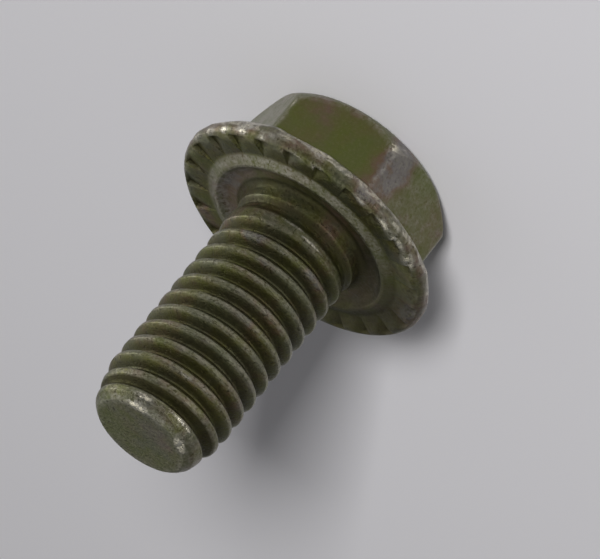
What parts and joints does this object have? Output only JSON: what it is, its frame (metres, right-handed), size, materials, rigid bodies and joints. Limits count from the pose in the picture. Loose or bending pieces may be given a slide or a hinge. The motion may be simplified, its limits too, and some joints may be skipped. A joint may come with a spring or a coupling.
{
  "type": "hex flange bolt",
  "caption": "Hexagon head bolt with a fixed flange, ratchet teeth on its bearing side and a full-length right-hand thread, zinc plated and yellow passivated.",
  "frame": {"origin": "centre of the bearing face, the raised ring under the flange", "axes": "+Z along the shank towards the thread's tip, +X through a corner of the hexagon head"},
  "size_m": [0.017, 0.017, 0.0227],
  "materials": {
    "plated_steel": "zinc plate with olive yellow chromate, iridescent and slightly worn"
  },
  "bodies": {
    "root": {"bolt": "plated_steel"}
  },
  "joints": []
}
